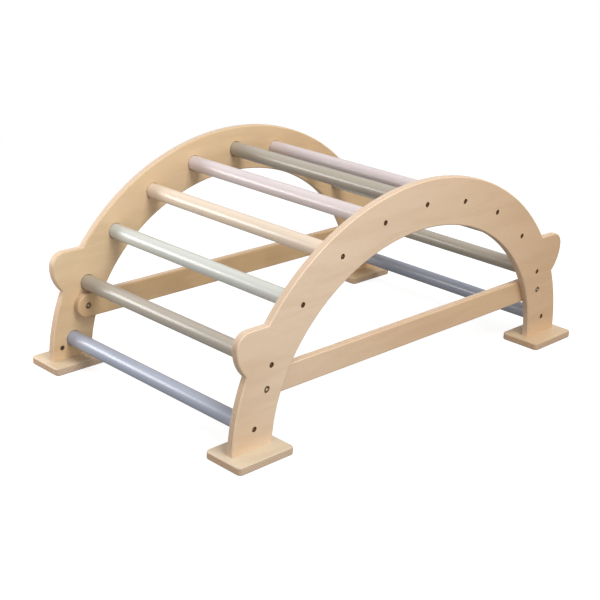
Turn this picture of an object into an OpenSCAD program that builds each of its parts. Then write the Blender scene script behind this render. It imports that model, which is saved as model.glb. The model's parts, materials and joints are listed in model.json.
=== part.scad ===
// Child's wooden rocker arch: two arched plywood side panels joined by painted round rungs,
// with a stretcher rail bolted inside each panel and a plywood foot plate under each leg.
// +X runs along the arch, +Y from the front panel to the back panel, +Z up from the floor.

/* [Arch] */
// Half the length of the arch along the middle of its band, at the widest line
arch_half_length = 415; // [400:1:450]
// Height of the middle of the band above the widest line, at the crown
arch_rise = 358; // [345:1:380]
// Height of the arch's widest line above the floor
arch_base_height = 10; // [0:1:15]
// Width of the arched band of a side panel
band_width = 92; // [86:1:100]
// Clear distance between the two side panels
clear_width = 500; // [400:1:700]
// Thickness of the side panels
panel_thickness = 15; // [15:0.5:21]
// Radius of the rounded edges of panels, rails and foot plates
edge_ease = 3; // [1:0.5:4]

/* [Ears] */
// How far an ear stands out from the band, level with the middle of its corner
ear_length = 50; // [40:1:60]
// Height of the ear's flat top above the floor
ear_top = 231; // [220:1:240]
// Radius of the ear's upper corner
ear_corner = 28; // [15:1:32]
// Radius of the long curve under the ear
ear_sweep = 72; // [64:1:90]

/* [Rungs] */
// Diameter of the round rungs
rung_diameter = 30; // [25:1:34]
// Height of the lowest rungs' centres above the floor
lowest_rung_height = 52; // [46:1:70]
// Depth of the blind sockets that hold the rung ends
socket_depth = 6; // [3:0.5:8]
// Gap all round a rung end in its socket
socket_gap = 0.5; // [0.1:0.1:0.8]
// Width of the bevel round a socket's mouth
socket_rim = 0.8; // [0.2:0.2:1.6]
// Width of the bevel round a rung's ends
rung_bevel = 1; // [0.5:0.5:2]

/* [Stretcher rails] */
// Width of a rail, which is also the diameter of its round ends
rail_width = 48; // [36:1:52]
// Thickness of a rail
rail_thickness = 15; // [12:0.5:21]
// Gap between a rail's top edge and the rung that passes over its end
rail_drop = 3; // [2:0.5:8]
// How far a rail's bolts lie inside the middle of the band
rail_bolt_inset = 10; // [0:1:14]

/* [Foot plates] */
// How far a plate's centre lies inside the middle of its leg
foot_inset = 1.5; // [-4:0.5:6]
// Length of a plate along the arch
foot_length = 126; // [116:1:150]
// Width of a plate across the panel
foot_width = 88; // [60:1:110]
// Thickness of a plate
foot_thickness = 15; // [15:0.5:20]
// Radius of a plate's upright corners
foot_corner = 9; // [5:1:14]

/* [Rung screws] */
// Diameter of the screw's flat head
screw_head = 10; // [9:0.5:12]
// Diameter of the smooth neck under the head
screw_neck = 7; // [6.5:0.5:8]
// Diameter of the threaded stretch
screw_thread = 6; // [5:0.5:6]
// Length of the screw from the top of its head to its tip
screw_length = 50; // [40:1:70]

/* [Bolts and nuts] */
// Diameter of the bolt shanks
bolt_diameter = 6; // [5:0.5:7]
// Diameter of the flat heads of the rail bolts and cap nuts
cap_head = 13; // [12:0.5:15]
// Thickness of those flat heads
cap_head_thickness = 2; // [1.5:0.5:2.5]
// Outer diameter of the cap nut's sleeve
cap_sleeve = 8.5; // [8:0.5:10]
// Distance between the two bolts of a foot plate
foot_bolt_span = 50; // [49:0.5:56]
// Diameter of the foot bolt's head
foot_bolt_head = 10; // [9:0.5:12]
// Height of the foot bolt's head
foot_bolt_head_height = 6; // [4:0.5:7]
// Diameter of the barrel nuts
barrel_diameter = 10; // [9:0.5:11]
// Height of the barrel nuts above the foot plate
barrel_height = 23; // [16:1:26]
// Width across the flats of the hexagon keys that turn screws and bolts
hex_key = 4; // [3:0.5:5]

/* [Clearances] */
// Difference in diameter between a hole and the plain shank or head in it
hole_clearance = 0.4; // [0.2:0.1:0.8]
// Difference in diameter between a bore and the threaded stretch in it
thread_clearance = 0.1; // [0.05:0.05:0.3]
// Depth of every head and nut below the face of the wood
head_recess = 0.5; // [0.2:0.1:0.8]
// Least wall left behind a blind hole, and air left beyond a bolt's tip
blind_margin = 1.5; // [1:0.5:2.5]

/* [Hidden] */
$fn = 96;

birch = [0.86, 0.74, 0.58];
bronze = [0.34, 0.27, 0.20];
zinc = [0.62, 0.62, 0.62];
slate_blue = [0.58, 0.63, 0.69];
taupe = [0.64, 0.59, 0.53];
sage = [0.70, 0.73, 0.68];
peach = [0.88, 0.76, 0.66];
lilac = [0.79, 0.71, 0.74];
rung_colours = [slate_blue, taupe, sage, peach, lilac, taupe, lilac, peach, sage, taupe, slate_blue];

ease_steps = 3;
past = 1;
key_depth = 2.5;
screw_rim = 1;
screw_point = 4;
slot_width = 1.2;
ear_overlap = 12;
ear_sweep_angle = 60;
fit_tries = 8;

outer_half_length = arch_half_length + band_width / 2;
outer_rise = arch_rise + band_width / 2;
inner_half_length = arch_half_length - band_width / 2;
inner_rise = arch_rise - band_width / 2;

inner_face = clear_width / 2;
panel_middle = inner_face + panel_thickness / 2;
rung_length = clear_width + 2 * socket_depth;
middle_rung = (len(rung_colours) + 1) / 2;
lowest_rung_angle = acos((lowest_rung_height - arch_base_height) / arch_rise);
first_step = lowest_rung_angle / (middle_rung - 1);

// Depths into a side panel, counted from its inner face outwards
screw_top = panel_thickness - head_recess;
screw_tip = screw_top - screw_length;
neck_end = socket_depth + head_recess;
cap_seat = cap_head_thickness + head_recess;
barrel_length = panel_thickness - head_recess - blind_margin;
bolt_line = head_recess + barrel_length / 2;
sleeve_length = rail_thickness - cap_seat - head_recess;
rail_bolt_tip = cap_seat - rail_thickness + 2 * blind_margin;

// Heights above the floor
foot_bolt_seat = foot_bolt_head_height + head_recess;
barrel_level = foot_thickness + barrel_height;
foot_bolt_tip = barrel_level + barrel_diameter / 2 + blind_margin;

function tenth(value) = round(value * 10) / 10;

// Half the length of an ellipse at a height above the floor
function half_length_at(height, half_length, rise) =
    half_length * sqrt(1 - pow((height - arch_base_height) / rise, 2));

// The point of the band's mid-line at an angle from the upright
function arch_point(angle) = [
    arch_half_length * sin(angle),
    arch_base_height + arch_rise * cos(angle)
];

// The angle of the point that lies one pitch, in a straight line, beyond another
function next_angle(angle, pitch, step = first_step, tries = fit_tries) =
    tries == 0
        ? angle + step
        : next_angle(
            angle,
            pitch,
            step * pitch / norm(arch_point(angle + step) - arch_point(angle)),
            tries - 1
        );

// The angle of the rung that lies a number of pitches from the crown
function angle_after(count, pitch) =
    count == 0 ? 0 : next_angle(angle_after(count - 1, pitch), pitch);

// The pitch at which the lowest rungs come to their height, all rungs being equally far apart
function fitted_pitch(pitch, tries = fit_tries) =
    tries == 0
        ? pitch
        : fitted_pitch(pitch * lowest_rung_angle / angle_after(middle_rung - 1, pitch), tries - 1);

rung_pitch = fitted_pitch(2 * arch_rise * sin(first_step / 2));

// Centre of a rung, numbered from the left leg to the right leg
function rung_place(number) =
    let (place = arch_point(angle_after(abs(number - middle_rung), rung_pitch)))
        [tenth(sign(number - middle_rung) * place[0]), tenth(place[1])];

second_rung_height = rung_place(2)[1];
rail_height = second_rung_height - rung_diameter / 2 - rail_drop - rail_width / 2;
rail_bolt_place =
    tenth(half_length_at(rail_height, arch_half_length, arch_rise) - rail_bolt_inset);
foot_place = arch_half_length - foot_inset;

ear_centre = ear_top - ear_corner;
ear_reach = tenth(half_length_at(ear_centre, outer_half_length, outer_rise) + ear_length);
ear_root = tenth(half_length_at(ear_top, outer_half_length, outer_rise) - ear_overlap);

// Points that turn round a corner's centre from one angle to another
function corner(centre, from, to) = [
    for (i = [0:ease_steps])
        let (angle = from + (to - from) * i / ease_steps)
            centre + edge_ease * [cos(angle), sin(angle)]
];

// Half of a board's cross-section, from its middle to one rounded edge
function board_edge(reach, thickness) = concat(
    [[0, 0]],
    corner([reach - edge_ease, edge_ease], -90, 0),
    corner([reach - edge_ease, thickness - edge_ease], 0, 90),
    [[0, thickness]]
);

// A board's whole cross-section, with both edges rounded
function board_section(width, thickness) = concat(
    corner([width / 2 - edge_ease, edge_ease], -90, 0),
    corner([width / 2 - edge_ease, thickness - edge_ease], 0, 90),
    corner([edge_ease - width / 2, thickness - edge_ease], 90, 180),
    corner([edge_ease - width / 2, edge_ease], 180, 270)
);

// Half of the section of a round window through a board, with both of its rims rounded
function window_section(reach, thickness) = concat(
    [[0, -past], [reach + edge_ease, -past]],
    corner([reach + edge_ease, edge_ease], 270, 180),
    corner([reach + edge_ease, thickness - edge_ease], 180, 90),
    [[reach + edge_ease, thickness + past], [0, thickness + past]]
);

module both_ends() {
    children();
    mirror([1, 0, 0]) children();
}

module both_sides() {
    children();
    mirror([0, 1, 0]) children();
}

// Stands a panel's drawing up on the front side: its X stays, its Y becomes height
// and its Z runs outwards from the panel's inner face
module on_front_panel() {
    translate([0, -inner_face, 0]) rotate([90, 0, 0]) children();
}

module at_each_rung() {
    for (number = [1:len(rung_colours)]) translate(rung_place(number)) children();
}

module at_rail_bolts() {
    both_ends() translate([rail_bolt_place, rail_height, 0]) children();
}

// The two bolts of the right leg, and those of both legs
module at_leg_bolts() {
    for (side = [-0.5, 0.5]) translate([foot_place + side * foot_bolt_span, 0, 0]) children();
}

module at_foot_bolts() {
    both_ends() at_leg_bolts() children();
}

// The arched band: one ellipse inside another, both with rounded edges
module arched_band() {
    difference() {
        translate([0, arch_base_height, 0])
            difference() {
                scale([outer_half_length / outer_rise, 1, 1])
                    rotate_extrude() polygon(board_edge(outer_rise, panel_thickness));
                scale([inner_half_length / inner_rise, 1, 1])
                    rotate_extrude() polygon(window_section(inner_rise, panel_thickness));
            }
        translate([-2 * arch_half_length, foot_thickness - 2 * arch_rise, -past])
            cube([4 * arch_half_length, 2 * arch_rise, panel_thickness + 2 * past]);
    }
}

// The ear that stands out from each shoulder of the arch: a flat top, a round corner
// and a long curve that runs back into the leg
module ear() {
    corner_centre = ear_reach - ear_corner;
    translate([ear_reach, ear_centre, 0]) {
        translate([-ear_corner, 0, 0])
            rotate_extrude(angle = 90) polygon(board_edge(ear_corner, panel_thickness));
        translate([-ear_sweep, 0, 0]) mirror([0, 1, 0])
            rotate_extrude(angle = ear_sweep_angle) polygon(board_edge(ear_sweep, panel_thickness));
        translate([ear_root - ear_reach, 0, 0]) rotate([90, 0, 90])
            linear_extrude(corner_centre - ear_root) polygon(board_edge(ear_corner, panel_thickness));
    }
}

// Hole for a rung screw: a pocket and a seat for its head, then room for its neck
module screw_hole() {
    seat_top = screw_top - screw_rim + hole_clearance / 2;
    seat_depth = (screw_head - screw_neck) / 2;
    cylinder(d = screw_neck + hole_clearance, h = panel_thickness);
    translate([0, 0, seat_top - seat_depth])
        cylinder(
            d1 = screw_neck + hole_clearance,
            d2 = screw_head + hole_clearance,
            h = seat_depth
        );
    translate([0, 0, seat_top])
        cylinder(d = screw_head + hole_clearance, h = panel_thickness - seat_top + past);
}

module rung_socket() {
    width = rung_diameter + 2 * socket_gap;
    translate([0, 0, -past]) {
        cylinder(d = width, h = socket_depth + past);
        cylinder(d1 = width + 2 * (socket_rim + past), d2 = width, h = socket_rim + past);
    }
}

module rail_bolt_hole() {
    translate([0, 0, -past])
        cylinder(d = bolt_diameter + hole_clearance, h = panel_thickness + 2 * past);
    translate([0, 0, panel_thickness - cap_seat])
        cylinder(d = cap_head + hole_clearance, h = cap_seat + past);
}

module barrel_hole() {
    translate([0, barrel_level, -past])
        cylinder(d = barrel_diameter + hole_clearance, h = panel_thickness - blind_margin + past);
    translate([0, foot_thickness - past, bolt_line]) rotate([-90, 0, 0])
        cylinder(
            d = bolt_diameter + hole_clearance,
            h = foot_bolt_tip + blind_margin - foot_thickness + past
        );
}

module side_panel() {
    color(birch)
        on_front_panel()
            difference() {
                union() {
                    arched_band();
                    both_ends() ear();
                }
                at_each_rung() rung_socket();
                at_each_rung() screw_hole();
                at_rail_bolts() rail_bolt_hole();
                at_foot_bolts() barrel_hole();
            }
}

module rung(number) {
    end = rung_length / 2;
    shoulder = rung_diameter / 2 - rung_bevel;
    place = rung_place(number);
    bore_depth = socket_depth - screw_tip + blind_margin;
    color(rung_colours[number - 1])
        translate([place[0], 0, place[1]]) rotate([90, 0, 0])
            difference() {
                rotate_extrude()
                    polygon([
                        [0, -end],
                        [shoulder, -end],
                        [rung_diameter / 2, rung_bevel - end],
                        [rung_diameter / 2, end - rung_bevel],
                        [shoulder, end],
                        [0, end]
                    ]);
                for (turn = [0, 180]) rotate([turn, 0, 0])
                    translate([0, 0, end - bore_depth])
                        cylinder(d = screw_thread + thread_clearance, h = bore_depth + past);
            }
}

module hex_socket() {
    translate([0, 0, -key_depth])
        cylinder(d = hex_key / cos(30), h = key_depth + past, $fn = 6);
}

// One rung screw, its head's top at the origin and its tip below
module rung_screw() {
    neck_start = screw_rim + (screw_head - screw_neck) / 2;
    difference() {
        mirror([0, 0, 1]) rotate_extrude()
            polygon([
                [0, 0],
                [screw_head / 2, 0],
                [screw_head / 2, screw_rim],
                [screw_neck / 2, neck_start],
                [screw_neck / 2, screw_top - neck_end],
                [screw_thread / 2, screw_top - neck_end],
                [screw_thread / 2, screw_length - screw_point],
                [screw_thread / 4, screw_length],
                [0, screw_length]
            ]);
        hex_socket();
    }
}

module rung_screws() {
    color(bronze)
        on_front_panel() at_each_rung() translate([0, 0, screw_top]) rung_screw();
}

// A rail lies against the panel's inner face, its ends round about its bolts
module stretcher_rail() {
    color(birch)
        on_front_panel()
            difference() {
                translate([0, 0, -rail_thickness]) {
                    translate([-rail_bolt_place, rail_height, 0]) rotate([90, 0, 90])
                        linear_extrude(2 * rail_bolt_place)
                            polygon(board_section(rail_width, rail_thickness));
                    both_ends() translate([rail_bolt_place, rail_height, 0]) rotate([0, 0, -90])
                        rotate_extrude(angle = 180)
                            polygon(board_edge(rail_width / 2, rail_thickness));
                }
                at_rail_bolts() translate([0, 0, -rail_thickness - past]) {
                    cylinder(d = cap_sleeve + hole_clearance, h = rail_thickness + 2 * past);
                    cylinder(d = cap_head + hole_clearance, h = cap_seat + past);
                }
            }
}

// A flat-headed bolt with its seat at the origin, its head above and its shank below
module flat_bolt(head, head_height, shank_length) {
    difference() {
        union() {
            cylinder(d = head, h = head_height);
            translate([0, 0, -shank_length])
                cylinder(d = bolt_diameter, h = shank_length + head_height / 2);
        }
        translate([0, 0, head_height]) hex_socket();
    }
}

module rail_bolts() {
    seat = panel_thickness - cap_seat;
    color(zinc)
        both_sides() on_front_panel() at_rail_bolts() translate([0, 0, seat])
            flat_bolt(cap_head, cap_head_thickness, seat - rail_bolt_tip);
}

// A cap nut with its seat at the origin, its head below and its sleeve above
module cap_nut() {
    difference() {
        union() {
            translate([0, 0, -cap_head_thickness]) cylinder(d = cap_head, h = cap_head_thickness);
            cylinder(d = cap_sleeve, h = sleeve_length);
        }
        translate([0, 0, blind_margin])
            cylinder(d = bolt_diameter + thread_clearance, h = sleeve_length);
        translate([0, 0, -cap_head_thickness]) mirror([0, 0, 1]) hex_socket();
    }
}

module rail_cap_nuts() {
    color(zinc)
        both_sides() on_front_panel() at_rail_bolts()
            translate([0, 0, cap_seat - rail_thickness]) cap_nut();
}

// A flat board with round upright corners and rounded edges, centred on the origin
module eased_board(length, width, thickness, corner_radius) {
    straight_x = length / 2 - corner_radius;
    straight_y = width / 2 - corner_radius;
    translate([-straight_x, 0, 0]) rotate([90, 0, 90])
        linear_extrude(2 * straight_x) polygon(board_section(width, thickness));
    translate([0, straight_y, 0]) rotate([90, 0, 0])
        linear_extrude(2 * straight_y) polygon(board_section(length, thickness));
    both_ends() both_sides() translate([straight_x, straight_y, 0])
        rotate_extrude(angle = 90) polygon(board_edge(corner_radius, thickness));
}

// The foot plate under the right leg of the front panel
module foot_plate() {
    color(birch)
        difference() {
            translate([foot_place, -panel_middle, 0])
                eased_board(foot_length, foot_width, foot_thickness, foot_corner);
            at_leg_bolts() translate([0, -inner_face - bolt_line, -past]) {
                cylinder(d = bolt_diameter + hole_clearance, h = foot_thickness + 2 * past);
                cylinder(d = foot_bolt_head + hole_clearance, h = foot_bolt_seat + past);
            }
        }
}

module foot_bolts() {
    color(zinc)
        both_sides() at_foot_bolts()
            translate([0, -inner_face - bolt_line, foot_bolt_seat]) mirror([0, 0, 1])
                flat_bolt(foot_bolt_head, foot_bolt_head_height, foot_bolt_tip - foot_bolt_seat);
}

// A barrel nut lies across the panel and takes a foot bolt through its side
module barrel_nut() {
    difference() {
        cylinder(d = barrel_diameter, h = barrel_length);
        translate([0, 0, barrel_length / 2]) rotate([90, 0, 0])
            cylinder(
                d = bolt_diameter + thread_clearance,
                h = barrel_diameter + 2 * past,
                center = true
            );
        translate([-barrel_diameter / 2 - past, -slot_width / 2, -past])
            cube([barrel_diameter + 2 * past, slot_width, past + slot_width]);
    }
}

module barrel_nuts() {
    color(zinc)
        both_sides() on_front_panel() at_foot_bolts()
            translate([0, barrel_level, head_recess]) barrel_nut();
}

module on_back() {
    mirror([0, 1, 0]) children();
}

module on_left() {
    mirror([1, 0, 0]) children();
}

side_panel();  // side_panel_front
on_back() side_panel();  // side_panel_back
rung(1);  // rung_01
rung(2);  // rung_02
rung(3);  // rung_03
rung(4);  // rung_04
rung(5);  // rung_05
rung(6);  // rung_06
rung(7);  // rung_07
rung(8);  // rung_08
rung(9);  // rung_09
rung(10);  // rung_10
rung(11);  // rung_11
stretcher_rail();  // stretcher_rail_front
on_back() stretcher_rail();  // stretcher_rail_back
on_left() foot_plate();  // foot_plate_front_left
foot_plate();  // foot_plate_front_right
on_back() on_left() foot_plate();  // foot_plate_back_left
on_back() foot_plate();  // foot_plate_back_right
rung_screws();  // rung_screws_front
on_back() rung_screws();  // rung_screws_back
rail_bolts();
rail_cap_nuts();
foot_bolts();
barrel_nuts();
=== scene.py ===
"""Finishes the wooden rocker arch: eased plywood boards, painted rungs, plated screws and bolts,
and a plain pale studio. Lengths are in metres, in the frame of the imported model."""

import json
import math

import bmesh
import bpy
from bpy.props import (
    FloatProperty,
    FloatVectorProperty,
    IntProperty,
    PointerProperty,
)
from mathutils import Matrix, Vector


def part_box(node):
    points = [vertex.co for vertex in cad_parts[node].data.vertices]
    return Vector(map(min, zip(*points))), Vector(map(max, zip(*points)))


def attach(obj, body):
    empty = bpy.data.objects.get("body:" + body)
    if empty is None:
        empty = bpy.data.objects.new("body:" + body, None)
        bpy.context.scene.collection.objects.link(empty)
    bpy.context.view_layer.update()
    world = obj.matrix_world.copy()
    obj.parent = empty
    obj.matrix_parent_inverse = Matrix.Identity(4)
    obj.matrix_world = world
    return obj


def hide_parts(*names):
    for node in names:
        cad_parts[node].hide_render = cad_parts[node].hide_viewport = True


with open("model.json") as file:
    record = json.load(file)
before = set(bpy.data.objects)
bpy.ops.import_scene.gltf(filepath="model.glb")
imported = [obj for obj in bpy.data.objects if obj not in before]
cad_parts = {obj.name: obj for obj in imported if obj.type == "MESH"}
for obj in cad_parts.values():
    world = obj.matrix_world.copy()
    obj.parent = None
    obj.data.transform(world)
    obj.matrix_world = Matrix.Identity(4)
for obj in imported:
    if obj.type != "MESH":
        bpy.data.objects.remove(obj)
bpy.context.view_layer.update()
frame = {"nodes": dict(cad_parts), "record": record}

bl_info = {
    "name": "Rocker Arch",
    "version": (1, 0, 0),
    "blender": (4, 5, 0),
    "location": "3D View > Sidebar > Rocker Arch",
    "description": "Finishes a child's wooden rocker arch with plywood, paint and plated steel",
    "category": "Object",
}

BODY = "root"
MM = 0.001
SIDES = {"front": -1, "back": 1}
ENDS = ("left", "right")
ALONG_Y = Vector((0, 1, 0))
DOWN = Vector((0, 0, -1))
WHITE = (1, 1, 1)

RUNG_NODES = sorted(
    name for name in frame["nodes"] if name.startswith("rung_") and "screws" not in name
)
PANEL_LOW, PANEL_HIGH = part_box("side_panel_back")
_, FOOT_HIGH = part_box("foot_plate_back_right")
RAIL_LOW, RAIL_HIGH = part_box("stretcher_rail_back")

# Corners of loose triangles that are nearer than this are one corner
MERGE_DISTANCE = 1e-6

# Neighbouring faces that turn less than the first angle are one flat face, and an edge where they
# turn more than the second one stays sharp
FLAT_ANGLE = math.radians(0.2)
SHARP_ANGLE = math.radians(32)

# How far a cutter reaches past the surface that it leaves by
CLEAR = 1 * MM

# A board's attribute: how far its edge faces along the grain of its faces, from 0 to 1
END_GRAIN = "end_grain"

# A fastener's attribute: 1 on the faces inside its hexagon socket, 0 elsewhere; it places the
# painted highlight
SOCKET = "socket"

# Each lamp: its name, its place, the point it faces, its width in metres and its power in watts
LAMPS = (
    ("Main softbox", (-0.3, -1.6, 2.6), (0, 0, 0.2), 1.4, 59),
    ("Low front softbox", (-0.9, -2.4, 0.55), (0, 0, 0.2), 1.1, 7.5),
    ("Low left softbox", (-2.4, -0.5, 0.5), (0, 0, 0.1), 1.0, 5.2),
    ("Near left softbox", (-0.95, 0.85, 0.5), (-0.2, 0, 0.2), 0.45, 5.7),
    ("Back screen", (0.3, 2.8, 1.2), (0, 0, 0.1), 3.0, 22),
    ("Right screen", (2.7, 0.1, 1.6), (0, 0, 0.1), 3.0, 18),
)


def linear(red, green, blue):
    """A colour as it looks on screen, from 0 to 255, as linear light."""
    shares = (red / 255, green / 255, blue / 255)
    return tuple(s / 12.92 if s <= 0.04045 else ((s + 0.055) / 1.055) ** 2.4 for s in shares)


def length_property(name, description, default, low, high):
    return FloatProperty(
        name=name,
        description=description,
        default=default,
        min=low,
        max=high,
        unit="LENGTH",
        precision=4,
    )


def colour_property(name, description, default):
    return FloatVectorProperty(
        name=name,
        description=description,
        default=default,
        size=3,
        min=0,
        max=1,
        subtype="COLOR",
    )


def share_property(name, description, default):
    return FloatProperty(
        name=name,
        description=description,
        default=default,
        min=0,
        max=1,
        subtype="FACTOR",
    )


def angle_property(name, description, degrees):
    return FloatProperty(
        name=name,
        description=description,
        default=math.radians(degrees),
        subtype="ANGLE",
    )


def count_property(name, description, default, low, high):
    return IntProperty(name=name, description=description, default=default, min=low, max=high)


class ArchSizes(bpy.types.PropertyGroup):
    """Sizes of the scene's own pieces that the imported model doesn't hold."""

    edge_ease: length_property(
        "Edge ease", "Radius of the rounded rims of rails and foot plates", 3 * MM, 0.5 * MM, 5 * MM
    )
    ease_segments: count_property("Ease segments", "Flat steps that round a rim", 5, 2, 12)
    foot_corner: length_property(
        "Foot corner", "Radius of a foot plate's upright corners", 9 * MM, 2 * MM, 20 * MM
    )
    corner_segments: count_property(
        "Corner segments", "Flat steps that round a board's corner", 16, 4, 48
    )
    round_segments: count_property("Round segments", "Flat steps round a rung", 72, 24, 128)
    steel_segments: count_property(
        "Steel segments", "Flat steps round a screw or bolt", 36, 12, 72
    )
    rung_shoulder: length_property(
        "Rung shoulder", "Radius that softens the ends of a rung", 1 * MM, 0.2 * MM, 3 * MM
    )
    bore_gap: length_property(
        "Bore gap", "Gap all round a fastener in its bore", 0.2 * MM, 0.02 * MM, 1 * MM
    )
    thread_gap: length_property(
        "Thread gap", "Gap all round a thread in its bore", 0.05 * MM, 0.01 * MM, 0.5 * MM
    )
    bore_end: length_property(
        "Bore end", "Empty stretch of a blind bore beyond its screw", 1.5 * MM, 0.2 * MM, 5 * MM
    )
    rim_chamfer: length_property(
        "Rim chamfer", "Chamfer round the mouths of the bores", 0.4 * MM, 0.1 * MM, 1 * MM
    )
    key_width: length_property(
        "Key width", "Width across the flats of the hexagon sockets", 4 * MM, 2 * MM, 6 * MM
    )
    key_depth: length_property(
        "Key depth", "Depth of the hexagon sockets", 2.5 * MM, 1 * MM, 4 * MM
    )
    slot_width: length_property(
        "Slot width", "Width and depth of the slot in a barrel nut", 1.2 * MM, 0.5 * MM, 2 * MM
    )
    thread_width: length_property(
        "Thread width", "Width of the threads of screws and bolts", 6 * MM, 3 * MM, 8 * MM
    )
    sleeve_width: length_property(
        "Sleeve width", "Width of the sleeve of a cap nut", 8.5 * MM, 7 * MM, 12 * MM
    )
    cap_height: length_property(
        "Cap height", "Height of the flat heads of rail bolts and cap nuts", 2 * MM, 1 * MM, 3 * MM
    )
    foot_head_height: length_property(
        "Foot head height", "Height of the heads of the foot bolts", 6 * MM, 3 * MM, 8 * MM
    )


class WoodLook(bpy.types.PropertyGroup):
    """The plywood's colours and grain."""

    face: colour_property("Face", "Face veneer between its darker streaks", linear(236, 211, 183))
    figure: colour_property("Figure", "Broad streaks of the face veneer", linear(221, 193, 162))
    fleck: colour_property("Fleck", "Short dark flecks along the grain", linear(178, 138, 100))
    # Painted light and shade: this warm tint stands in for warmer light towards the right of the
    # arch and golden shade low on the left legs
    honey: colour_property("Warm light and shade", "Tint of a board's warmer stretches", linear(241, 227, 208))
    foot: colour_property("Foot", "Tint of the foot plates", linear(229, 236, 237))
    back: colour_property("Back", "Tint of the back panel and rail", linear(255, 255, 244))
    long_ply: colour_property(
        "Long ply", "Edge of a ply that is cut along its grain", linear(236, 221, 203)
    )
    cross_ply: colour_property(
        "Cross ply", "Edge of a ply that is cut across its grain", linear(194, 153, 111)
    )
    glue: colour_property("Glue", "Glue line between two plies", linear(150, 108, 70))
    plies: count_property("Plies", "Plies in the thickness of a board", 11, 3, 15)
    long_share: share_property("Long share", "Thickness of a long ply in a pair of plies", 0.62)
    roughness: share_property("Roughness", "Roughness of the satin lacquer", 0.46)


class PaintLook(bpy.types.PropertyGroup):
    """The five satin paints of the rungs, in order from a leg to the crown."""

    slate_blue: colour_property("Slate blue", "Paint of the lowest rungs", linear(164, 170, 186))
    taupe: colour_property("Taupe", "Paint of the second and crown rungs", linear(173, 164, 150))
    sage: colour_property("Sage", "Paint of the third rungs", linear(202, 204, 197))
    peach: colour_property("Peach", "Paint of the fourth rungs", linear(227, 208, 187))
    lilac: colour_property("Lilac", "Paint of the fifth rungs", linear(217, 204, 204))
    roughness: share_property("Roughness", "Roughness of the satin paint", 0.30)


class SteelLook(bpy.types.PropertyGroup):
    """The plated steel of screws, bolts and nuts."""

    bronze: colour_property("Bronze", "Plating of the rung screws", linear(118, 84, 54))
    # Painted highlight: a light colour on the faces inside the screw sockets stands in for a glint
    burnished_bronze: colour_property(
        "Painted bronze glint", "Sockets of the rung screws", linear(184, 160, 136)
    )
    zinc: colour_property("Zinc", "Plating of the bolts and nuts", linear(150, 132, 104))
    # Painted highlight: a light colour on the faces inside the bolt and nut sockets stands in for a
    # glint
    burnished_zinc: colour_property(
        "Painted zinc glint", "Sockets of the bolts and nuts", linear(224, 216, 200)
    )


class StudioLook(bpy.types.PropertyGroup):
    """The camera, lamps and floor."""

    eye: FloatVectorProperty(
        name="Eye",
        description="Place of the camera",
        default=(-1.6828, -1.6009, 0.9745),
        size=3,
        subtype="TRANSLATION",
    )
    heading: angle_property("Heading", "Turn of the view from +X towards +Y", 44.37)
    dip: angle_property("Dip", "How far the view looks down", 20.51)
    roll: angle_property("Roll", "Lean of the camera about its view", 2.46)
    lens: FloatProperty(
        name="Lens",
        description="Focal length in millimetres",
        default=73.95,
        min=20,
        max=200,
    )
    sensor: FloatProperty(
        name="Sensor",
        description="Width of the camera's sensor in millimetres",
        default=36,
        min=8,
        max=70,
    )
    world_light: share_property("World light", "Even light from all round", 0.458)
    floor_gloss: share_property("Floor gloss", "How white the floor looks in reflections", 0.15)
    floor_bounce: share_property("Floor bounce", "How much light the floor sends back up", 0.20)
    floor_shade: share_property("Floor shade", "How dark a shadow shows on the floor", 0.30)
    floor_glow: share_property("Floor glow", "Light of its own that keeps the floor pale", 0.83)


class Field:
    """The output of a node. Arithmetic on it adds Math nodes to its tree."""

    def __init__(self, tree, socket):
        self.tree = tree
        self.socket = socket

    def _math(self, operation, *values):
        return self.tree.add("ShaderNodeMath", {"operation": operation}, dict(enumerate(values)))

    def __add__(self, other):
        return self._math("ADD", self, other)

    __radd__ = __add__

    def __sub__(self, other):
        return self._math("SUBTRACT", self, other)

    def __rsub__(self, other):
        return self._math("SUBTRACT", other, self)

    def __mul__(self, other):
        return self._math("MULTIPLY", self, other)

    __rmul__ = __mul__

    def __truediv__(self, other):
        return self._math("DIVIDE", self, other)

    def __rtruediv__(self, other):
        return self._math("DIVIDE", other, self)

    def __gt__(self, other):
        return self._math("GREATER_THAN", self, other)

    def __lt__(self, other):
        return self._math("LESS_THAN", self, other)

    def __neg__(self):
        return self * -1

    def __abs__(self):
        return self._math("ABSOLUTE", self)

    def fraction(self):
        return self._math("FRACT", self)

    def ramp(self, low, high):
        """0 below low, 1 above high and a soft step between."""
        return self.tree.add(
            "ShaderNodeMapRange",
            {"interpolation_type": "SMOOTHSTEP"},
            {"Value": self, "From Min": low, "From Max": high},
        )


class NodeTree:
    """The nodes of a material or a world, which are added one by one."""

    def __init__(self, owner):
        owner.use_nodes = True
        self.nodes = owner.node_tree.nodes
        self.links = owner.node_tree.links

    def add(self, kind, settings=None, inputs=None, output=0):
        """Adds a node, sets it up, feeds its sockets and returns one of its outputs."""
        node = self.nodes.new(kind)
        for key, value in (settings or {}).items():
            setattr(node, key, value)
        for key, value in (inputs or {}).items():
            self.feed(node.inputs[key], value)
        return Field(self, node.outputs[output]) if node.outputs else None

    def feed(self, socket, value):
        if isinstance(value, Field):
            self.links.new(value.socket, socket)
        elif socket.type == "RGBA":
            socket.default_value = (*value, 1)
        else:
            socket.default_value = value


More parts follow.
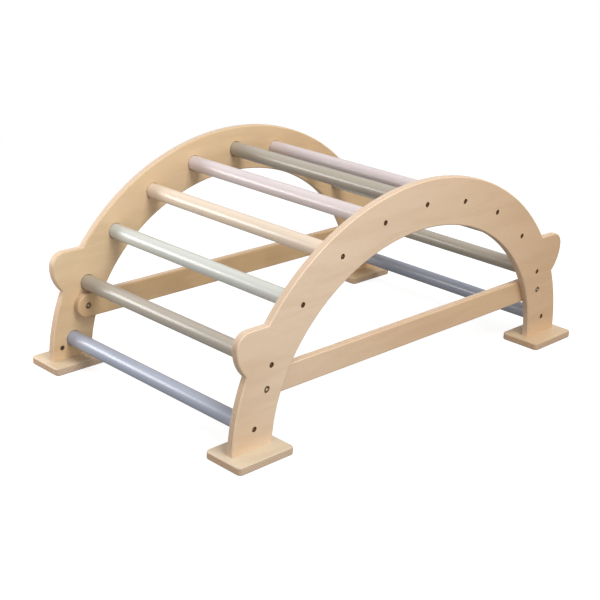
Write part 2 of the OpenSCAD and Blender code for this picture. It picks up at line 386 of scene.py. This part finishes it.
class Finish(NodeTree):
    """A material of a piece."""

    def __init__(self, name, **constants):
        self.material = bpy.data.materials.new(name)
        super().__init__(self.material)
        self.surface = self.nodes["Principled BSDF"]
        for key, value in constants.items():
            self.surface.inputs[key.replace("_", " ").title()].default_value = value

    def place(self):
        """The three coordinates of a point of the surface, in metres."""
        coordinates = self.add("ShaderNodeTexCoord", output="Object")
        return [
            self.add("ShaderNodeSeparateXYZ", inputs={0: coordinates}, output=axis)
            for axis in "XYZ"
        ]

    def noise(self, x, y, z, detail, distortion=0.0):
        """Noise from 0 to 1 with a blotch in each unit, so that the factor of a coordinate is the
        number of blotches in a metre."""
        where = self.add("ShaderNodeCombineXYZ", inputs={0: x, 1: y, 2: z})
        return self.add(
            "ShaderNodeTexNoise",
            inputs={"Vector": where, "Scale": 1, "Detail": detail, "Distortion": distortion},
        )

    def mix(self, share, first, second, blend="MIX"):
        """A colour between two others: the first at a share of 0, the second at 1. The node has
        sockets of the same names for other kinds of data, so its colours go by their numbers."""
        return self.add(
            "ShaderNodeMix",
            {"data_type": "RGBA", "blend_type": blend},
            {0: share, 6: first, 7: second},
            output=2,
        )

    def attribute(self, name):
        return self.add("ShaderNodeAttribute", {"attribute_name": name}, output="Fac")

    def colour(self, field):
        self.feed(self.surface.inputs["Base Color"], field)

    def roughness(self, field):
        self.feed(self.surface.inputs["Roughness"], field)

    def relief(self, height, depth, strength):
        """Raises the surface by a field of heights. A height of 1 stands for a depth in metres."""
        normal = self.add(
            "ShaderNodeBump", inputs={"Strength": strength, "Distance": depth, "Height": height}
        )
        self.feed(self.surface.inputs["Normal"], normal)


def look(name):
    return getattr(bpy.context.scene, "rocker_arch_" + name)


def merged_copy(node):
    """A CAD node's loose triangles as one joined mesh."""
    bm = bmesh.new()
    bm.from_mesh(frame["nodes"][node].data)
    bmesh.ops.remove_doubles(bm, verts=bm.verts, dist=MERGE_DISTANCE)
    return bm


def solid_boxes(node):
    """The lowest and highest corner of each separate solid in a CAD node, from left to right."""
    bm = merged_copy(node)
    left = set(bm.verts)
    boxes = []
    while left:
        reached = [left.pop()]
        for vert in reached:
            for edge in vert.link_edges:
                other = edge.other_vert(vert)
                if other in left:
                    left.remove(other)
                    reached.append(other)
        spans = list(zip(*(vert.co for vert in reached)))
        boxes.append((Vector(map(min, spans)), Vector(map(max, spans))))
    bm.free()
    return sorted(boxes, key=lambda box: [round(value, 4) for value in box[0]])


def turned(profile, segments):
    """A round piece about Z, from points of radius and height that start and end on the axis."""
    bm = bmesh.new()
    verts = [bm.verts.new((radius, 0, height)) for radius, height in profile]
    edges = [bm.edges.new(pair) for pair in zip(verts, verts[1:])]
    bmesh.ops.spin(
        bm,
        geom=verts + edges,
        cent=(0, 0, 0),
        axis=(0, 0, 1),
        angle=math.tau,
        steps=segments,
        use_merge=True,
    )
    bmesh.ops.remove_doubles(bm, verts=bm.verts, dist=MERGE_DISTANCE)
    bmesh.ops.recalc_face_normals(bm, faces=bm.faces)
    return bm


def pointing(bm, spot, direction):
    """Turns a piece from +Z to a direction and moves its origin to a spot."""
    turn = direction.to_track_quat("Z", "Y").to_matrix().to_4x4()
    bmesh.ops.transform(bm, matrix=Matrix.Translation(spot) @ turn, verts=bm.verts)
    return bm


def as_object(name, bm):
    """A mesh that is done, as an object in the scene."""
    mesh = bpy.data.meshes.new(name)
    bm.to_mesh(mesh)
    bm.free()
    piece = bpy.data.objects.new(name, mesh)
    bpy.context.scene.collection.objects.link(piece)
    return piece


def middle_at(low, high, y):
    """The middle of a box, moved to a place along Y."""
    return Vector(((low.x + high.x) / 2, y, (low.z + high.z) / 2))


def joined(pieces):
    """Several pieces in one mesh; the given ones are used up."""
    whole = bmesh.new()
    for bm in pieces:
        part = bpy.data.meshes.new("part")
        bm.to_mesh(part)
        bm.free()
        whole.from_mesh(part)
        bpy.data.meshes.remove(part)
    return whole


def cut(body, tool):
    """The body less the tool; both are used up."""
    helpers = [as_object("body", body), as_object("tool", tool)]
    modifier = helpers[0].modifiers.new("cut", "BOOLEAN")
    modifier.operation = "DIFFERENCE"
    modifier.solver = "EXACT"
    modifier.object = helpers[1]
    result = bmesh.new()
    result.from_object(helpers[0], bpy.context.evaluated_depsgraph_get())
    for helper in helpers:
        mesh = helper.data
        bpy.data.objects.remove(helper)
        bpy.data.meshes.remove(mesh)
    if not result.faces:
        raise RuntimeError("A cut left nothing of its piece")
    bmesh.ops.remove_doubles(result, verts=result.verts, dist=2 * MERGE_DISTANCE)
    bmesh.ops.dissolve_degenerate(result, edges=result.edges, dist=MERGE_DISTANCE)
    return result


def rounded(bm, edges, radius, segments):
    bmesh.ops.bevel(
        bm,
        geom=edges,
        affect="EDGES",
        offset=radius,
        offset_type="OFFSET",
        segments=segments,
        profile=0.5,
        material=-1,
    )


def eased_board(low, high, axis, corner):
    """A board that fills a box, with round corners about an axis and eased rims."""
    sizes = look("sizes")
    bm = bmesh.new()
    spread = Matrix.Diagonal((*(high - low), 1))
    bmesh.ops.create_cube(bm, size=1, matrix=Matrix.Translation((low + high) / 2) @ spread)

    def rise(edge):
        return abs(edge.verts[0].co[axis] - edge.verts[1].co[axis])

    upright = [edge for edge in bm.edges if rise(edge) > MERGE_DISTANCE]
    rounded(bm, upright, corner, sizes.corner_segments)
    bmesh.ops.remove_doubles(bm, verts=bm.verts, dist=MERGE_DISTANCE)
    rims = [edge for edge in bm.edges if rise(edge) < MERGE_DISTANCE]
    rounded(bm, rims, sizes.edge_ease, sizes.ease_segments)
    return bm


def mark_end_grain(bm, thickness_axis):
    """Notes at each corner of a board how far its edge faces along X, the grain of the faces."""
    layer = bm.verts.layers.float.new(END_GRAIN)
    almost_none = 1e-9
    bm.normal_update()
    for vert in bm.verts:
        sideways = vert.normal.copy()
        sideways[thickness_axis] = 0
        vert[layer] = sideways.x**2 / max(sideways.length_squared, almost_none)
    return bm


def bore_tool(mouth_radius, seat, bore_radius, end):
    """A cutter for a counterbore and the narrower bore below it, down from the origin to the depths
    of its seat and its end, with a chamfer round its mouth."""
    sizes = look("sizes")
    chamfer = sizes.rim_chamfer
    past = 2 * chamfer
    profile = [
        (0, past),
        (mouth_radius + chamfer + past, past),
        (mouth_radius, -chamfer),
        (mouth_radius, -seat),
        (bore_radius, -seat),
        (bore_radius, -end),
        (0, -end),
    ]
    return turned(profile, sizes.steel_segments)


def hexagon_tool():
    """A cutter for a hexagon socket, down from the origin."""
    sizes = look("sizes")
    radius = sizes.key_width / math.sqrt(3)
    bm = bmesh.new()
    bmesh.ops.create_cone(
        bm,
        cap_ends=True,
        segments=6,
        radius1=radius,
        radius2=radius,
        depth=2 * sizes.key_depth,
    )
    return bm


def with_socket(profile):
    """A turned fastener with its top at the origin and a hexagon socket, whose faces are noted."""
    sizes = look("sizes")
    fastener = cut(turned(profile, sizes.steel_segments), hexagon_tool())
    layer = fastener.faces.layers.float.new(SOCKET)
    slack = 0.01 * MM
    reach = sizes.key_width / math.sqrt(3) + slack
    bottom = -sizes.key_depth - slack
    for face in fastener.faces:
        inside = all(vert.co.xy.length < reach and vert.co.z > bottom for vert in face.verts)
        face[layer] = float(inside)
    return fastener


def finished(name, bm, finish, nodes):
    """Makes an object of a mesh, rounds its shading and lets it stand for the CAD nodes."""
    piece = as_object(name, bm)
    piece.data.shade_smooth()
    piece.data.set_sharp_from_angle(angle=SHARP_ANGLE)
    piece.data.materials.append(finish.material)
    shading = piece.modifiers.new("Even shading", "WEIGHTED_NORMAL")
    shading.keep_sharp = True
    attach(piece, BODY)
    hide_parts(*nodes)


def plywood(finish, depth, along, across, seed, warmth, edge_warmth, tint):
    """Lacquered birch plywood. Depth runs from 0 to 1 through the board, along follows the grain of
    the faces and across crosses it, both in metres. The warmths of faces and edges are 1 where the
    warm tint, a painted warm light and shade, is full."""
    wood = look("wood")
    # Long and cross plies alternate in pairs, with a long ply outermost on both sides. Crossed is 1
    # within a cross ply. Two plies meet over a seam, where glued peaks at 1.
    pair = 2 / (wood.plies - 1 + 2 * wood.long_share)
    seam = 0.09
    within = (depth / pair).fraction()
    crossed = within.ramp(wood.long_share - seam, wood.long_share) - within.ramp(1 - seam, 1)
    glued = crossed * (1 - crossed) * 4
    ends = finish.attribute(END_GRAIN)
    cut_across = crossed + ends - crossed * ends * 2

    tone = finish.noise(along * 3, across * 14, seed, detail=2)
    waves = finish.noise(along * 5.5, across * 42, seed + 4.7, detail=3, distortion=0.8)
    fibres = finish.noise(along * 55, across * 1500, seed + depth * 9, detail=2)
    dashes = finish.noise(along * 130, across * 1250, seed + 11.3, detail=1)
    wave_share, tone_share, fibre_share, fleck_share = 0.34, 0.24, 0.24, 0.40
    streak = (
        waves.ramp(0.42, 0.66) * wave_share
        + tone.ramp(0.35, 0.65) * tone_share
        + fibres.ramp(0.40, 0.75) * fibre_share
    )
    face = finish.mix(streak, wood.face, wood.figure)
    face = finish.mix(dashes.ramp(0.69, 0.80) * fleck_share, face, wood.fleck)
    # Painted warm light and shade: the warm tint multiplies the face by its warmth
    face = finish.mix(warmth, face, wood.honey, "MULTIPLY")
    face = finish.mix(1, face, tint, "MULTIPLY")

    pores = finish.noise(along * 900, across * 900, depth * 26 + seed, detail=2)
    line_share, pore_share, glue_share = 0.5, 0.45, 0.45
    long_edge = finish.mix(fibres.ramp(0.35, 0.75) * line_share, wood.long_ply, wood.figure)
    cross_edge = finish.mix(pores.ramp(0.35, 0.70) * pore_share, wood.cross_ply, wood.glue)
    inside = finish.mix(cut_across, long_edge, cross_edge)
    inside = finish.mix(glued * glue_share, inside, wood.glue)
    # Painted warm light: the warm tint multiplies the edge by its edge warmth
    inside = finish.mix(edge_warmth, inside, wood.honey, "MULTIPLY")

    veneer = pair * wood.long_share
    outermost = abs(depth - 0.5).ramp(0.5 - veneer * 1.05, 0.5 - veneer * 0.95)
    edge = 1 - outermost
    finish.colour(finish.mix(outermost, inside, face))
    finish.roughness(fibres * 0.08 + edge * 0.10 + wood.roughness)
    grain = fibres * 0.5 + dashes * 0.5 + edge * pores * 0.6
    finish.relief(grain, depth=0.12 * MM, strength=0.35)
    return finish


def lacquered(name):
    return Finish(name, coat_weight=0.12, coat_roughness=0.3)


def standing_plywood(name, near, far, front_warmth, back_warmth, edge_warmth):
    """Plywood that stands along the arch: its plies lie between two distances from the middle. It
    gets a painted warm light towards the right, less so at the back, and each warmth shifts that to
    the left. The left legs get a painted golden shade near the floor."""
    finish = lacquered(name)
    x, y, z = finish.place()
    depth = (abs(y) - near) / (far - near)
    back = y > 0
    coolest, warmest = -0.35, 0.55
    back_evenness, leg_warmth = 0.55, 0.35
    # Painted warm light: the warmth rises towards the right of the arch
    rise = x * (1 - back * back_evenness) + front_warmth + back * (back_warmth - front_warmth)
    # Painted shade: the left legs turn golden low down, near the floor
    low_left_shade = (-x).ramp(0.33, 0.45) * (-z).ramp(-0.21, -0.12)
    warmth = rise.ramp(coolest, warmest) + low_left_shade * leg_warmth
    tint = finish.mix(back, WHITE, look("wood").back)
    seed = back * 7.3
    return plywood(finish, depth, x, z, seed, warmth, edge_warmth, tint)


def lying_plywood(name):
    """Plywood that lies on the floor under a leg. Each plate has a grain of its own, and the plates
    on the right, and a little those at the back, get a painted warm light.
    """
    finish = lacquered(name)
    x, y, z = finish.place()
    depth = z / FOOT_HIGH.z
    right, back = x > 0, y > 0
    right_warmth, back_warmth = 0.8, 0.3
    left_edge, right_edge = 0.3, 0.7
    # Painted warm light: the plates on the right, and a little those at the back, are warmer
    warmth = right * right_warmth + back * back_warmth
    edge_warmth = right * (right_edge - left_edge) + left_edge
    seed = right * 5.1 + back * 9.7
    return plywood(finish, depth, x, y, seed, warmth, edge_warmth, look("wood").foot)


def darker(colour, share):
    return tuple(value * share for value in colour)


def paint(name, colour):
    """Satin paint on a turned rung, with the grain of the wood just showing in its relief."""
    finish = Finish(name, coat_weight=0.35, coat_roughness=0.16)
    x, y, z = finish.place()
    grain = finish.noise(x * 520, y * 16, z * 520, detail=3)
    brush = finish.noise(x * 60, y * 9, z * 60, detail=2)
    dark_share, grain_share, brush_share = 0.90, 0.5, 0.3
    grain_marks = grain.ramp(0.45, 0.80) * grain_share + brush.ramp(0.4, 0.7) * brush_share
    finish.colour(finish.mix(grain_marks, colour, darker(colour, dark_share)))
    finish.roughness(look("paint").roughness + brush * 0.08 + grain * 0.04)
    finish.relief(grain, depth=0.10 * MM, strength=0.30)
    return finish


def plated(name, colour, painted_glint, dark_share, roughness):
    """Plated steel with faint blotches and fine turning marks, and a painted highlight inside its
    sockets.
    """
    finish = Finish(name, metallic=1.0)
    x, y, z = finish.place()
    blotch = finish.noise(x * 420, y * 420, z * 420, detail=3)
    marks = finish.noise(x * 2600, y * 2600, z * 2600, detail=1)
    skin = finish.mix(blotch.ramp(0.40, 0.70), colour, darker(colour, dark_share))
    # The faces inside a socket get a light colour, a painted highlight
    finish.colour(finish.mix(finish.attribute(SOCKET), skin, painted_glint))
    finish.roughness(roughness + blotch * 0.14)
    finish.relief(marks, depth=0.03 * MM, strength=0.25)
    return finish


def quarter_turn(radius, end, shoulder, steps=4):
    """Points that round the shoulder of a turned end."""
    angles = [step / steps * math.pi / 2 for step in range(steps + 1)]
    return [
        (radius - shoulder * (1 - math.sin(angle)), end - shoulder * (1 - math.cos(angle)))
        for angle in angles
    ]


def crowned(head, flat_share=0.45, drop=1.5 * MM, steps=6):
    """Outline of a slightly domed head, flat about its socket, which drops towards its rim."""
    flat = flat_share * head
    shares = [step / steps for step in range(steps + 1)]
    return [(0, 0)] + [(flat + (head - flat) * share, -drop * share**2) for share in shares]


def set_across(piece, low, high, outwards):
    """Sets a fastener across the boards, in its packed box, with its head towards the outside or
    the inside of the arch."""
    sign = math.copysign(1, low.y)
    reaches = (abs(low.y), abs(high.y))
    top, facing = (max(reaches), sign) if outwards else (min(reaches), -sign)
    return pointing(piece, middle_at(low, high, sign * top), facing * ALONG_Y)


def rung_screw(low, high):
    """A countersunk screw, outlined down from the middle of its head."""
    head, length = (high.x - low.x) / 2, high.y - low.y
    rim, neck, neck_end, point, soft = 1 * MM, 3.5 * MM, 8 * MM, 4 * MM, 0.25 * MM
    thread = look("sizes").thread_width / 2
    profile = [
        (0, 0),
        (head - soft, 0),
        (head, -soft),
        (head, -rim),
        (neck, -rim - (head - neck)),
        (neck, -neck_end),
        (thread, -neck_end),
        (thread, -length + point),
        (thread / 2, -length),
        (0, -length),
    ]
    return set_across(with_socket(profile), low, high, outwards=True)


def bolt(head, head_height, length):
    """A bolt, outlined down from the middle of its head."""
    soft, shank = 0.4 * MM, look("sizes").thread_width / 2
    profile = crowned(head) + [
        (head, -head_height),
        (shank, -head_height),
        (shank, -length + soft),
        (shank - soft, -length),
        (0, -length),
    ]
    return with_socket(profile)


def rail_bolt(low, high):
    piece = bolt((high.x - low.x) / 2, look("sizes").cap_height, high.y - low.y)
    return set_across(piece, low, high, outwards=True)


def foot_bolt(low, high):
    piece = bolt((high.x - low.x) / 2, look("sizes").foot_head_height, high.z - low.z)
    middle = (low + high) / 2
    return pointing(piece, Vector((middle.x, middle.y, low.z)), DOWN)


def cap_nut(low, high):
    """A cap nut, outlined down from the middle of its head and up again inside its bore."""
    sizes = look("sizes")
    head, length = (high.x - low.x) / 2, high.y - low.y
    bore_top = 3.5 * MM
    sleeve = sizes.sleeve_width / 2
    bore = sizes.thread_width / 2 + sizes.thread_gap
    profile = crowned(head) + [
        (head, -sizes.cap_height),
        (sleeve, -sizes.cap_height),
        (sleeve, -length),
        (bore, -length),
        (bore, -bore_top),
        (0, -bore_top),
    ]
    return set_across(with_socket(profile), low, high, outwards=False)


def barrel_nut(low, high):
    """A barrel nut with a slot in its face and the bolt's bore across it."""
    sizes = look("sizes")
    radius, length = (high.x - low.x) / 2, high.y - low.y
    soft, reach = 0.4 * MM, 3 * radius
    profile = [
        (0, 0),
        (radius - soft, 0),
        (radius, -soft),
        (radius, -length + soft),
        (radius - soft, -length),
        (0, -length),
    ]
    slot = bmesh.new()
    slot_size = Matrix.Diagonal((reach, sizes.slot_width, 2 * sizes.slot_width, 1))
    bmesh.ops.create_cube(slot, size=1, matrix=slot_size)
    bore = sizes.thread_width / 2 + sizes.thread_gap
    drill = turned([(0, reach), (bore, reach), (bore, -reach), (0, -reach)], sizes.steel_segments)
    pointing(drill, Vector((0, 0, -length / 2)), ALONG_Y)
    nut = cut(cut(turned(profile, sizes.steel_segments), slot), drill)
    return set_across(nut, low, high, outwards=False)


def fasteners(name, node, make, finish):
    """One piece of all the fasteners of a node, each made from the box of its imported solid."""
    finished(name, joined(make(*box) for box in solid_boxes(node)), finish, [node])


class ROCKERARCH_OT_side_panels(bpy.types.Operator):
    """Finish the two arched side panels"""

    bl_idname = "rocker_arch.side_panels"
    bl_label = "Side panels"

    def execute(self, context):
        ply = standing_plywood(
            "Arch plywood",
            PANEL_LOW.y,
            PANEL_HIGH.y,
            front_warmth=0,
            back_warmth=0.14,
            edge_warmth=0,
        )
        for side in SIDES:
            node = "side_panel_" + side
            panel = merged_copy(node)
            bmesh.ops.dissolve_limit(
                panel,
                angle_limit=FLAT_ANGLE,
                use_dissolve_boundaries=False,
                verts=panel.verts,
                edges=panel.edges,
                delimit=set(),
            )
            mark_end_grain(panel, thickness_axis=1)
            finished("arch_" + side, panel, ply, [node])
        return {"FINISHED"}


class ROCKERARCH_OT_rungs(bpy.types.Operator):
    """Turn and paint the eleven rungs"""

    bl_idname = "rocker_arch.rungs"
    bl_label = "Rungs"

    def execute(self, context):
        sizes, paints = look("sizes"), look("paint")
        slots = {part["node"]: part["material_slot"] for part in frame["record"]["subparts"]}
        screw_low, _ = solid_boxes("rung_screws_back")[0]
        bore_radius = sizes.thread_width / 2 + sizes.thread_gap
        bore_end = screw_low.y - sizes.bore_end
        finishes = {}
        for node in RUNG_NODES:
            slot = slots[node]
            tint = slot.removeprefix("paint_")
            if tint not in finishes:
                finishes[tint] = paint("Rung paint " + tint, getattr(paints, tint))
            low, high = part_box(node)
            radius, end = (high.x - low.x) / 2, high.y
            half = [(0, bore_end), (bore_radius, bore_end), (bore_radius, end)]
            half += quarter_turn(radius, end, sizes.rung_shoulder)
            other_half = [(r, -height) for r, height in reversed(half)]
            rung = turned(half + other_half, sizes.round_segments)
            pointing(rung, middle_at(low, high, 0), ALONG_Y)
            finished("painted_" + node, rung, finishes[tint], [node])
        return {"FINISHED"}


class ROCKERARCH_OT_rails(bpy.types.Operator):
    """Shape the two stretcher rails, round about their bolts"""

    bl_idname = "rocker_arch.rails"
    bl_label = "Stretcher rails"

    def execute(self, context):
        sizes = look("sizes")
        ply = standing_plywood(
            "Rail plywood",
            RAIL_LOW.y,
            RAIL_HIGH.y,
            front_warmth=0.25,
            back_warmth=0.5,
            edge_warmth=0.4,
        )
        for side, sign in SIDES.items():
            node = "stretcher_rail_" + side
            low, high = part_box(node)
            board = eased_board(low, high, axis=1, corner=(high.z - low.z) / 2)
            inner_face, outer_face = sorted((abs(low.y), abs(high.y)))
            tools = []
            for nut_low, nut_high in solid_boxes("rail_cap_nuts"):
                if nut_low.y * sign < 0:
                    continue
                head = (nut_high.x - nut_low.x) / 2
                nut_top = min(abs(nut_low.y), abs(nut_high.y))
                tool = bore_tool(
                    mouth_radius=head + sizes.bore_gap,
                    seat=nut_top - inner_face + sizes.cap_height,
                    bore_radius=sizes.sleeve_width / 2 + sizes.bore_gap,
                    end=outer_face - inner_face + CLEAR,
                )
                spot = middle_at(nut_low, nut_high, sign * inner_face)
                tools.append(pointing(tool, spot, -sign * ALONG_Y))
            rail = mark_end_grain(cut(board, joined(tools)), thickness_axis=1)
            finished("rail_" + side, rail, ply, [node])
        return {"FINISHED"}


class ROCKERARCH_OT_foot_plates(bpy.types.Operator):
    """Shape the four foot plates and bore them for their bolts"""

    bl_idname = "rocker_arch.foot_plates"
    bl_label = "Foot plates"

    def execute(self, context):
        sizes = look("sizes")
        ply = lying_plywood("Foot plywood")
        bolts = solid_boxes("foot_bolts")
        for side in SIDES:
            for end in ENDS:
                node = f"foot_plate_{side}_{end}"
                low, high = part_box(node)
                board = eased_board(low, high, axis=2, corner=sizes.foot_corner)
                tools = []
                for bolt_low, bolt_high in bolts:
                    middle = (bolt_low + bolt_high) / 2
                    if not (low.x < middle.x < high.x and low.y < middle.y < high.y):
                        continue
                    head = (bolt_high.x - bolt_low.x) / 2
                    tool = bore_tool(
                        mouth_radius=head + sizes.bore_gap,
                        seat=bolt_low.z + sizes.foot_head_height,
                        bore_radius=sizes.thread_width / 2 + sizes.bore_gap,
                        end=high.z + CLEAR,
                    )
                    tools.append(pointing(tool, Vector((middle.x, middle.y, 0)), DOWN))
                foot = mark_end_grain(cut(board, joined(tools)), thickness_axis=2)
                finished(f"foot_{side}_{end}", foot, ply, [node])
        return {"FINISHED"}


class ROCKERARCH_OT_rung_screws(bpy.types.Operator):
    """Turn the countersunk screws that hold the rungs"""

    bl_idname = "rocker_arch.rung_screws"
    bl_label = "Rung screws"

    def execute(self, context):
        steel = look("steel")
        bronze = plated(
            "Dark bronze plating",
            steel.bronze,
            steel.burnished_bronze,
            dark_share=0.55,
            roughness=0.34,
        )
        for side in SIDES:
            node = "rung_screws_" + side
            fasteners("screws_" + side, node, rung_screw, bronze)
        return {"FINISHED"}


class ROCKERARCH_OT_bolts(bpy.types.Operator):
    """Turn the rail bolts, their cap nuts, the foot bolts and the barrel nuts"""

    bl_idname = "rocker_arch.bolts"
    bl_label = "Bolts and nuts"

    def execute(self, context):
        steel = look("steel")
        zinc = plated(
            "Zinc plating",
            steel.zinc,
            steel.burnished_zinc,
            dark_share=0.78,
            roughness=0.22,
        )
        for name, node, make in (
            ("steel_rail_bolts", "rail_bolts", rail_bolt),
            ("steel_cap_nuts", "rail_cap_nuts", cap_nut),
            ("steel_foot_bolts", "foot_bolts", foot_bolt),
            ("steel_barrel_nuts", "barrel_nuts", barrel_nut),
        ):
            fasteners(name, node, make, zinc)
        return {"FINISHED"}


class ROCKERARCH_OT_studio(bpy.types.Operator):
    """Set up the floor, the lamps and the camera"""

    bl_idname = "rocker_arch.studio"
    bl_label = "Studio"

    def execute(self, context):
        studio = look("studio")
        scene = context.scene
        scene.view_settings.view_transform = "Standard"
        self.world(scene, studio)
        self.floor(studio)
        for name, place, target, width, power in LAMPS:
            self.lamp(scene, name, Vector(place), Vector(target), width, power)
        self.camera(scene, studio)
        return {"FINISHED"}

    def lamp(self, scene, name, place, target, width, power):
        light = bpy.data.lights.new(name, "AREA")
        light.shape = "SQUARE"
        light.size = width
        light.energy = power
        lamp = bpy.data.objects.new(name, light)
        lamp.location = place
        lamp.rotation_euler = (place - target).to_track_quat("Z", "Y").to_euler()
        scene.collection.objects.link(lamp)

    def world(self, scene, studio):
        world = bpy.data.worlds.new("Studio light")
        scene.world = world
        tree = NodeTree(world)
        tree.nodes.clear()
        light = {"Color": WHITE, "Strength": studio.world_light}
        lit = tree.add("ShaderNodeBackground", inputs=light)
        white = tree.add("ShaderNodeBackground", inputs={"Color": WHITE, "Strength": 1})
        seen = tree.add("ShaderNodeLightPath", output="Is Camera Ray")
        chosen = tree.add("ShaderNodeMixShader", inputs={0: seen, 1: lit, 2: white})
        tree.add("ShaderNodeOutputWorld", inputs={"Surface": chosen})

    def floor(self, studio):
        """A floor just below the feet. The camera sees it pale near the arch, with the arch's
        shadow, and plain white beyond; gloss sees a little of that, and other light a grey."""
        reach, drop = 12, 0.1 * MM
        fade_start, fade_end = 0.9, 2.0
        bm = bmesh.new()
        just_below = Matrix.Translation((0, 0, -drop))
        bmesh.ops.create_grid(bm, x_segments=1, y_segments=1, size=reach, matrix=just_below)
        floor = as_object("Floor", bm)
        material = bpy.data.materials.new("Pale floor")
        tree = NodeTree(material)
        tree.nodes.clear()
        bounce = tree.add("ShaderNodeBsdfDiffuse", inputs={"Color": (studio.floor_bounce,) * 3})
        grain_marks = tree.add("ShaderNodeBsdfDiffuse", inputs={"Color": (studio.floor_shade,) * 3})
        glow = {"Color": WHITE, "Strength": studio.floor_glow}
        glowing = tree.add("ShaderNodeEmission", inputs=glow)
        near = tree.add("ShaderNodeAddShader", inputs={0: grain_marks, 1: glowing})
        far = tree.add("ShaderNodeEmission", inputs={"Color": WHITE, "Strength": 1})
        place = tree.add("ShaderNodeTexCoord", output="Object")
        length = {"operation": "LENGTH"}
        distance = tree.add("ShaderNodeVectorMath", length, {0: place}, output="Value")
        fade = distance.ramp(fade_start, fade_end)
        pale = tree.add("ShaderNodeMixShader", inputs={0: fade, 1: near, 2: far})
        camera_ray = tree.add("ShaderNodeLightPath", output="Is Camera Ray")
        glossy_ray = tree.add("ShaderNodeLightPath", output="Is Glossy Ray")
        seen = camera_ray + glossy_ray * studio.floor_gloss
        chosen = tree.add("ShaderNodeMixShader", inputs={0: seen, 1: bounce, 2: pale})
        tree.add("ShaderNodeOutputMaterial", inputs={"Surface": chosen})
        floor.data.materials.append(material)

    def camera(self, scene, studio):
        heading, dip, roll = studio.heading, studio.dip, studio.roll
        ahead = Vector((math.cos(heading), math.sin(heading), 0))
        view = ahead * math.cos(dip) + DOWN * math.sin(dip)
        right = Vector((math.sin(heading), -math.cos(heading), 0))
        above = right.cross(view)
        leaned_right = right * math.cos(roll) + above * math.sin(roll)
        leaned_above = above * math.cos(roll) - right * math.sin(roll)
        turn = Matrix((leaned_right, leaned_above, -view)).transposed().to_4x4()
        data = bpy.data.cameras.new("Camera")
        data.sensor_width = studio.sensor
        data.lens = studio.lens
        camera = bpy.data.objects.new("Camera", data)
        camera.matrix_world = Matrix.Translation(Vector(studio.eye)) @ turn
        scene.collection.objects.link(camera)
        scene.camera = camera


class ROCKERARCH_PT_panel(bpy.types.Panel):
    """Buttons and values of the rocker arch"""

    bl_idname = "ROCKERARCH_PT_panel"
    bl_label = "Rocker Arch"
    bl_space_type = "VIEW_3D"
    bl_region_type = "UI"
    bl_category = "Rocker Arch"

    def draw(self, context):
        for operator in OPERATORS:
            self.layout.operator(operator.bl_idname)
        for name, group in GROUPS.items():
            box = self.layout.box()
            for key in group.__annotations__:
                box.prop(look(name), key)


OPERATORS = (
    ROCKERARCH_OT_side_panels,
    ROCKERARCH_OT_rungs,
    ROCKERARCH_OT_rails,
    ROCKERARCH_OT_foot_plates,
    ROCKERARCH_OT_rung_screws,
    ROCKERARCH_OT_bolts,
    ROCKERARCH_OT_studio,
)
GROUPS = {
    "sizes": ArchSizes,
    "wood": WoodLook,
    "paint": PaintLook,
    "steel": SteelLook,
    "studio": StudioLook,
}


def register():
    for name, group in GROUPS.items():
        bpy.utils.register_class(group)
        setattr(bpy.types.Scene, "rocker_arch_" + name, PointerProperty(type=group))
    for operator in OPERATORS:
        bpy.utils.register_class(operator)
    bpy.utils.register_class(ROCKERARCH_PT_panel)


def unregister():
    bpy.utils.unregister_class(ROCKERARCH_PT_panel)
    for operator in reversed(OPERATORS):
        bpy.utils.unregister_class(operator)
    for name, group in reversed(GROUPS.items()):
        delattr(bpy.types.Scene, "rocker_arch_" + name)
        bpy.utils.unregister_class(group)


def main():
    register()
    for operator in OPERATORS:
        family, action = operator.bl_idname.split(".")
        getattr(getattr(bpy.ops, family), action)()


if __name__ == "__main__":
    main()
